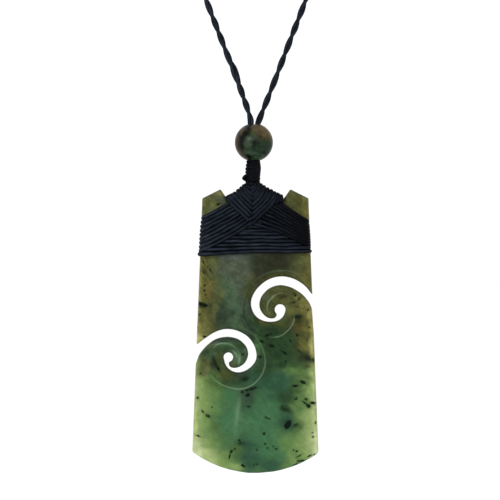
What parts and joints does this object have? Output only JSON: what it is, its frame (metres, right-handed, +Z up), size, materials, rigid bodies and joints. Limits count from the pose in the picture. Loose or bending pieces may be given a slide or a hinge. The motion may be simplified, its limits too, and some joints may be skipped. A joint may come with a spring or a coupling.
{
  "type": "jade necklace",
  "caption": "Adze-shaped jade pendant with two open carved spirals, lashed with waxed cord under a jade bead on a twisted neck cord worn as one loop.",
  "frame": {"origin": "middle line of the neck cord where it lies on the nape of the neck", "axes": "+Z up, -Y forward from the nape towards the chest, +X towards the wearer's left; the blade hangs upright with its front to -Y"},
  "size_m": [0.1356, 0.1217, 0.31],
  "materials": {
    "blade_jade": "polished",
    "bead_jade": "polished",
    "lashing_cord": "waxed",
    "neck_cord": "waxed"
  },
  "bodies": {
    "root": {"jade_blade": "blade_jade", "level_lashing": "lashing_cord", "slant_lashing": "lashing_cord", "stem_whipping": "lashing_cord", "jade_bead": "bead_jade", "neck_cord": "neck_cord"}
  },
  "joints": []
}
